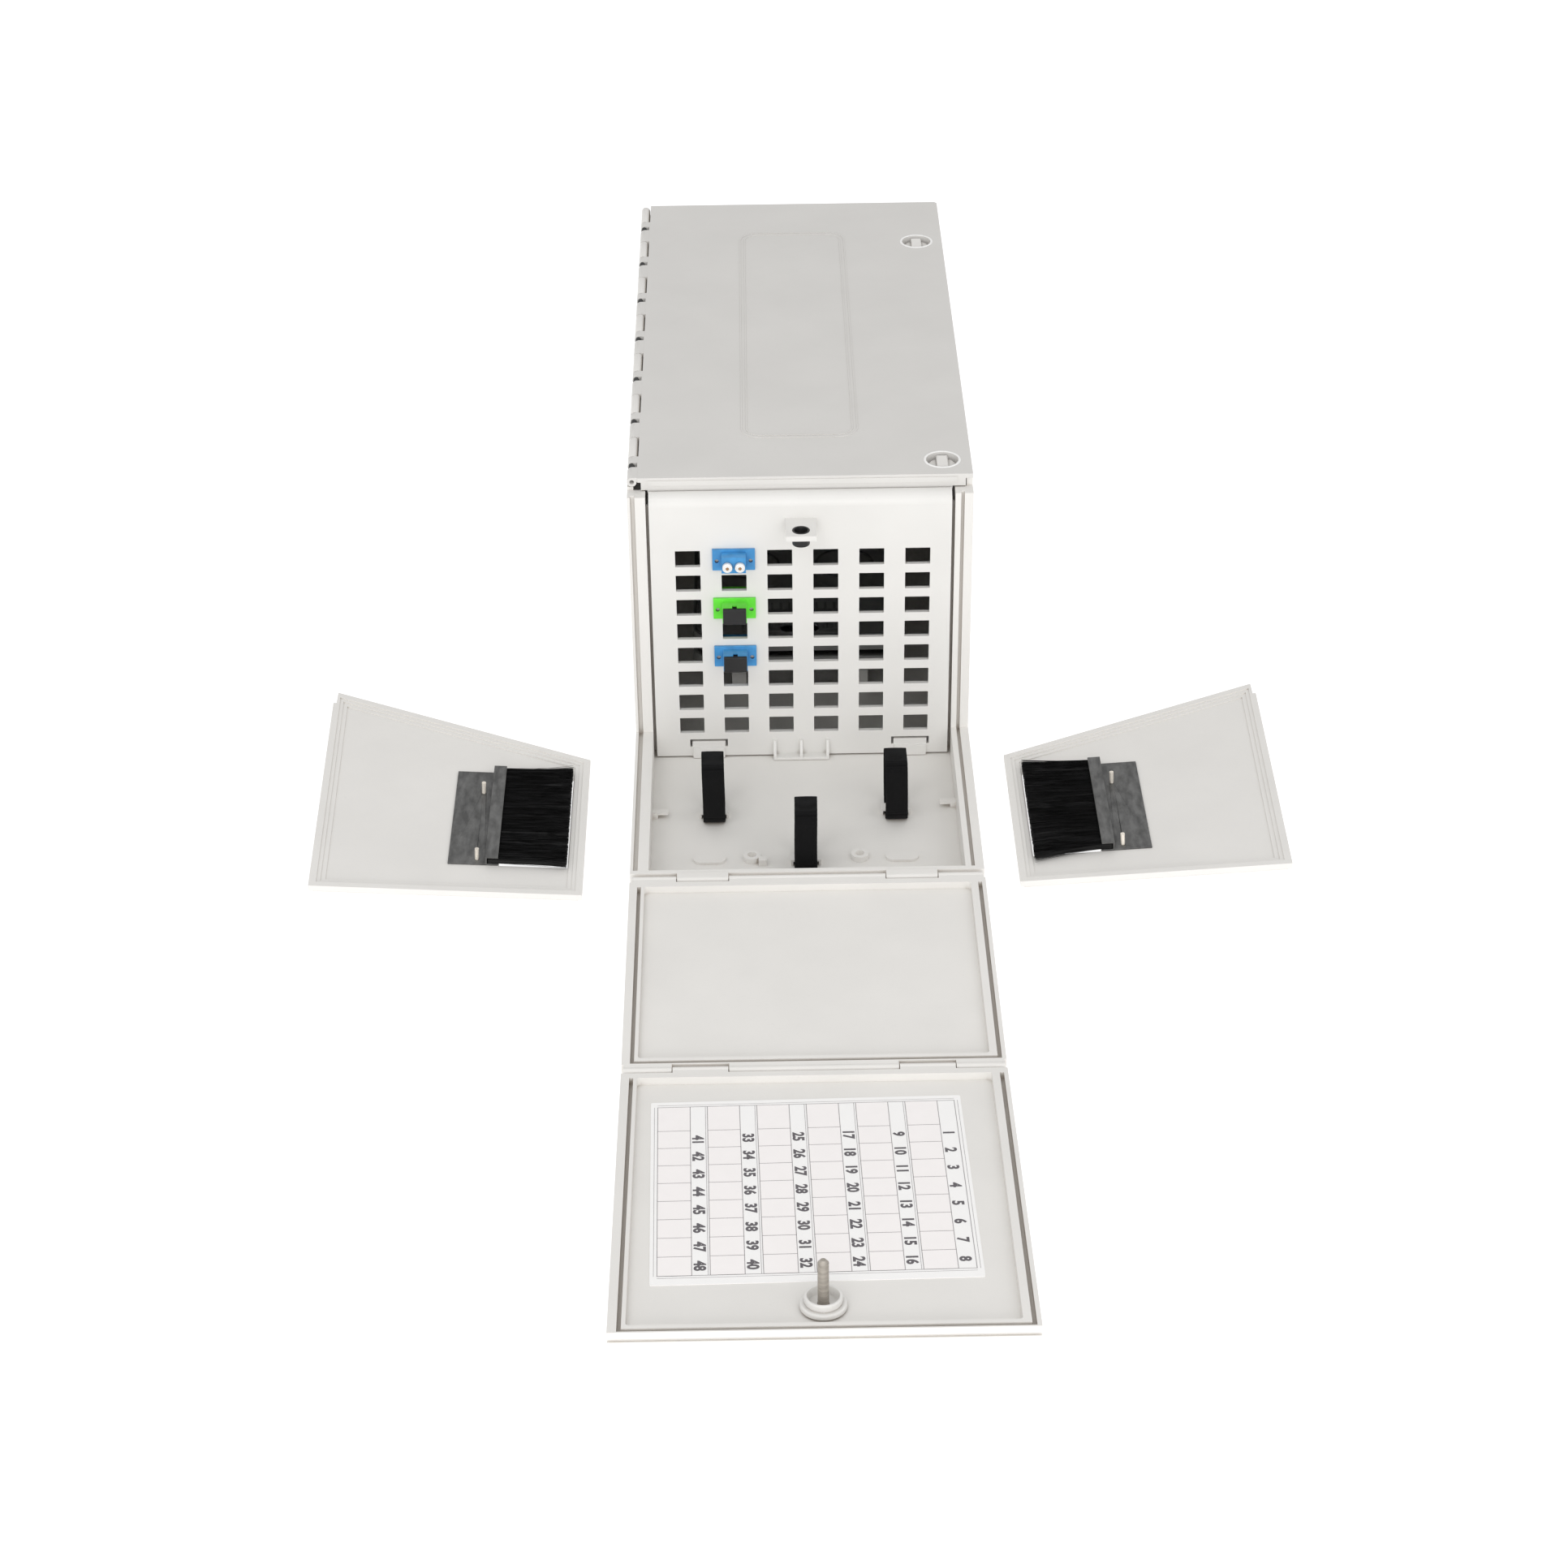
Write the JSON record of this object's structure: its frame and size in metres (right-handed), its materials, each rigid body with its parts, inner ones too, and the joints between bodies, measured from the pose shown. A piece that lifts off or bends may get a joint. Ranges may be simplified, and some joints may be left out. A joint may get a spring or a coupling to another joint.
{
  "type": "fiber termination box",
  "caption": "Plastic fibre termination box with a port panel, a hinged splice cover, folding bay doors and lift-off side panels.",
  "frame": {"origin": "on the outer back face, in the middle of the width, in the plane of the patch panel's front", "axes": "+Z away from the wall that the box hangs on, +Y towards the rear cable entries, +X across the width"},
  "size_m": [0.5096, 0.8636, 0.1707],
  "materials": {
    "housing_plastic": "light warm grey, fine matte texture",
    "panel_plastic": "light grey, satin",
    "label_paper": "printed paper sheet",
    "blue_plastic": "satin blue",
    "green_plastic": "satin green",
    "lock_metal": "turned metal",
    "clear_plastic": "clear lid",
    "strap_fabric": "black hook-and-loop tape",
    "screw_steel": "plain steel",
    "grommet_rubber": "soft black rubber",
    "bracket_steel": "dark zinc-coated steel",
    "bristle_fibre": "black bristles",
    "white_plastic": "white dust caps",
    "black_plastic": "black",
    "zinc_steel": "zinc-coated steel"
  },
  "bodies": {
    "base": {"base_tray": "housing_plastic", "cover_hinge_pins": "screw_steel", "entry_plate": "housing_plastic", "lock_bushing": "black_plastic", "cable_saddle_left": "black_plastic", "cable_saddle_right": "black_plastic", "end_door_hinge_pin": "screw_steel", "patch_panel": "panel_plastic", "adapter_lc_blue": "blue_plastic", "adapter_sc_green": "green_plastic", "adapter_sc_blue": "blue_plastic", "cable_strap_left": "strap_fabric", "cable_strap_right": "strap_fabric", "cable_strap_centre": "strap_fabric", "entry_grommet_1": "grommet_rubber", "entry_grommet_2": "grommet_rubber", "entry_grommet_3": "grommet_rubber", "entry_grommet_4": "grommet_rubber", "cable_clamp_left": "black_plastic", "cable_clamp_right": "black_plastic", "clamp_screws": "screw_steel", "slack_spool": "panel_plastic", "cassette_bracket": "panel_plastic", "cassette_bracket_screws": "screw_steel", "cassette_pins_lower": "screw_steel", "latch_keeper_front": "zinc_steel", "latch_keeper_rear": "zinc_steel"},
    "splice_cover": {"splice_cover": "housing_plastic"},
    "latch_front": {"latch_knob_front": "panel_plastic", "latch_cam_front": "zinc_steel", "latch_screw_front": "screw_steel"},
    "latch_rear": {"latch_knob_rear": "panel_plastic", "latch_cam_rear": "zinc_steel", "latch_screw_rear": "screw_steel"},
    "end_door": {"end_door": "housing_plastic", "front_door_hinge_pin": "screw_steel"},
    "front_door": {"front_door": "housing_plastic", "label_sheet": "label_paper", "lock_collar": "panel_plastic"},
    "lock_screw": {"lock_screw": "lock_metal"},
    "side_panel_left": {"side_panel_left": "housing_plastic", "brush_bracket_left": "bracket_steel", "entry_brush_left": "bristle_fibre", "bracket_screws_left": "screw_steel"},
    "side_panel_right": {"side_panel_right": "housing_plastic", "brush_bracket_right": "bracket_steel", "entry_brush_right": "bristle_fibre", "bracket_screws_right": "screw_steel"},
    "cassette_lower": {"cassette_lower": "panel_plastic", "splice_holder_lower": "black_plastic", "cassette_pins_upper": "screw_steel"},
    "cassette_upper": {"cassette_upper": "panel_plastic", "splice_holder_upper": "black_plastic", "cassette_lid": "clear_plastic"},
    "dust_cap_lc_left": {"dust_cap_lc_left": "white_plastic"},
    "dust_cap_lc_right": {"dust_cap_lc_right": "white_plastic"},
    "dust_cap_sc_upper": {"dust_cap_sc_upper": "black_plastic"},
    "dust_cap_sc_lower": {"dust_cap_sc_lower": "black_plastic"}
  },
  "joints": [
    {"name": "splice_cover_hinge", "type": "hinge", "parent": "base", "child": "splice_cover", "pos_m": [-0.0875, 0.186, 0.1674], "axis": [0, -1, 0], "range_deg": [0, 160]},
    {"name": "latch_front_turn", "type": "hinge", "parent": "splice_cover", "child": "latch_front", "pos_m": [0.0748, 0.0239, 0.1668], "axis": [0, 0, -1], "range_deg": [0, 90]},
    {"name": "latch_rear_turn", "type": "hinge", "parent": "splice_cover", "child": "latch_rear", "pos_m": [0.0748, 0.3068, 0.1668], "axis": [0, 0, -1], "range_deg": [0, 90]},
    {"name": "end_door_hinge", "type": "hinge", "parent": "base", "child": "end_door", "pos_m": [0, -0.14, 0.0175], "axis": [-1, 0, 0], "range_deg": [0, 70.3]},
    {"name": "front_door_hinge", "type": "hinge", "parent": "end_door", "child": "front_door", "pos_m": [0, -0.2969, 0.0175], "axis": [-1, 0, 0], "range_deg": [0, 104.7]},
    {"name": "lock_screw_turn", "type": "hinge", "parent": "front_door", "child": "lock_screw", "pos_m": [0, -0.47592, 0.03316], "axis": [0, 0.0872, 0.9962], "continuous": true},
    {"name": "side_panel_left_lift", "type": "slide", "parent": "base", "child": "side_panel_left", "axis": [0, 0, 1], "range_m": [0, 0.15]},
    {"name": "side_panel_right_lift", "type": "slide", "parent": "base", "child": "side_panel_right", "axis": [0, 0, 1], "range_m": [0, 0.15]},
    {"name": "cassette_lower_hinge", "type": "hinge", "parent": "base", "child": "cassette_lower", "pos_m": [0, 0.176, 0.0245], "axis": [-1, 0, 0], "range_deg": [0, 60]},
    {"name": "cassette_upper_hinge", "type": "hinge", "parent": "cassette_lower", "child": "cassette_upper", "pos_m": [0, 0.176, 0.0375], "axis": [-1, 0, 0], "range_deg": [0, 60]},
    {"name": "dust_cap_lc_left_pull", "type": "slide", "parent": "base", "child": "dust_cap_lc_left", "axis": [0, -1, 0], "range_m": [0, 0.015]},
    {"name": "dust_cap_lc_right_pull", "type": "slide", "parent": "base", "child": "dust_cap_lc_right", "axis": [0, -1, 0], "range_m": [0, 0.015]},
    {"name": "dust_cap_sc_upper_pull", "type": "slide", "parent": "base", "child": "dust_cap_sc_upper", "axis": [0, -1, 0], "range_m": [0, 0.015]},
    {"name": "dust_cap_sc_lower_pull", "type": "slide", "parent": "base", "child": "dust_cap_sc_lower", "axis": [0, -1, 0], "range_m": [0, 0.015]}
  ]
}
